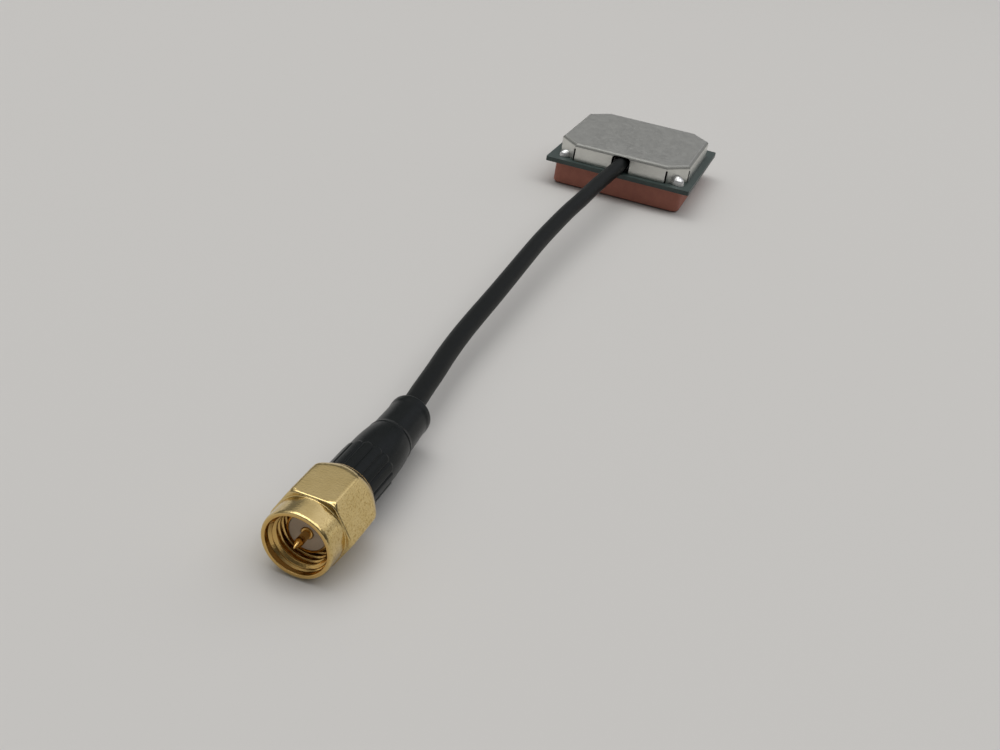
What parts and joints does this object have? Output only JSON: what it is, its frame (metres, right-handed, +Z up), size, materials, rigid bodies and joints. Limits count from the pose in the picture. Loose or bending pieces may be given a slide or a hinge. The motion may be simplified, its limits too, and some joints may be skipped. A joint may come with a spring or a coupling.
{
  "type": "active gps patch antenna",
  "caption": "Square ceramic patch antenna on an amplifier board with a folded shield can, a short coax lead and a threaded coaxial plug.",
  "frame": {"origin": "on the floor under the middle of the board, with the module lying on its radiating face", "axes": "+Z up through the module from the radiating face to the shield can, -Y the way the lead leaves, +X along the board's front edge"},
  "size_m": [0.028, 0.1485, 0.0084],
  "materials": {
    "ceramic": "fired, matt, red-brown",
    "fired_silver": "fired silver paste, satin",
    "tinned_copper": "tinned copper wire",
    "solder": "bright solder",
    "tape": "double-sided tape",
    "board_laminate": "glass laminate under dark solder mask",
    "tinplate": "tinplate, satin",
    "black_resin": "moulded epoxy",
    "filter_lid": "plated lid",
    "chip_ceramic": "fired chip ceramic",
    "chip_white": "fired chip ceramic, white",
    "tinned_braid": "tinned copper braid",
    "cable_insulation": "polyethylene",
    "cable_jacket": "satin black jacket",
    "gold_plate": "gold plate on turned brass",
    "spring_bronze": "spring bronze",
    "plug_insulator": "turned fluoropolymer",
    "gasket_rubber": "silicone rubber",
    "boot_rubber": "moulded, satin black"
  },
  "bodies": {
    "antenna": {"ceramic_block": "ceramic", "patch_electrode": "fired_silver", "ground_electrode": "fired_silver", "feed_pin": "tinned_copper", "patch_side_solder": "solder", "board_side_solder": "solder", "adhesive_tape": "tape", "amplifier_board": "board_laminate", "shield_can": "tinplate", "tab_solder_front_left": "solder", "tab_solder_front_right": "solder", "tab_solder_back_left": "solder", "tab_solder_back_right": "solder", "input_amplifier": "black_resin", "output_amplifier": "black_resin", "saw_filter": "filter_lid", "input_capacitor": "chip_ceramic", "supply_capacitor": "chip_ceramic", "output_capacitor": "chip_ceramic", "bias_inductor": "chip_white", "bias_resistor": "black_resin", "cable_braid_end": "tinned_braid", "cable_insulation_end": "cable_insulation", "cable_core_end": "tinned_copper", "braid_solder": "solder", "core_solder": "solder", "coax_cable": "cable_jacket", "retaining_ring": "spring_bronze", "plug_body": "gold_plate", "plug_insulator": "plug_insulator", "centre_pin": "gold_plate", "sealing_gasket": "gasket_rubber", "plug_braid_end": "tinned_braid", "plug_cable_insulation": "cable_insulation", "plug_cable_core": "tinned_copper", "crimp_ferrule": "gold_plate", "strain_relief_boot": "boot_rubber"},
    "nut": {"coupling_nut": "gold_plate"}
  },
  "joints": [
    {"name": "nut_turn", "type": "hinge", "parent": "antenna", "child": "nut", "pos_m": [0.0014, -0.1342, 0.004], "axis": [0, 1, 0], "continuous": true}
  ]
}
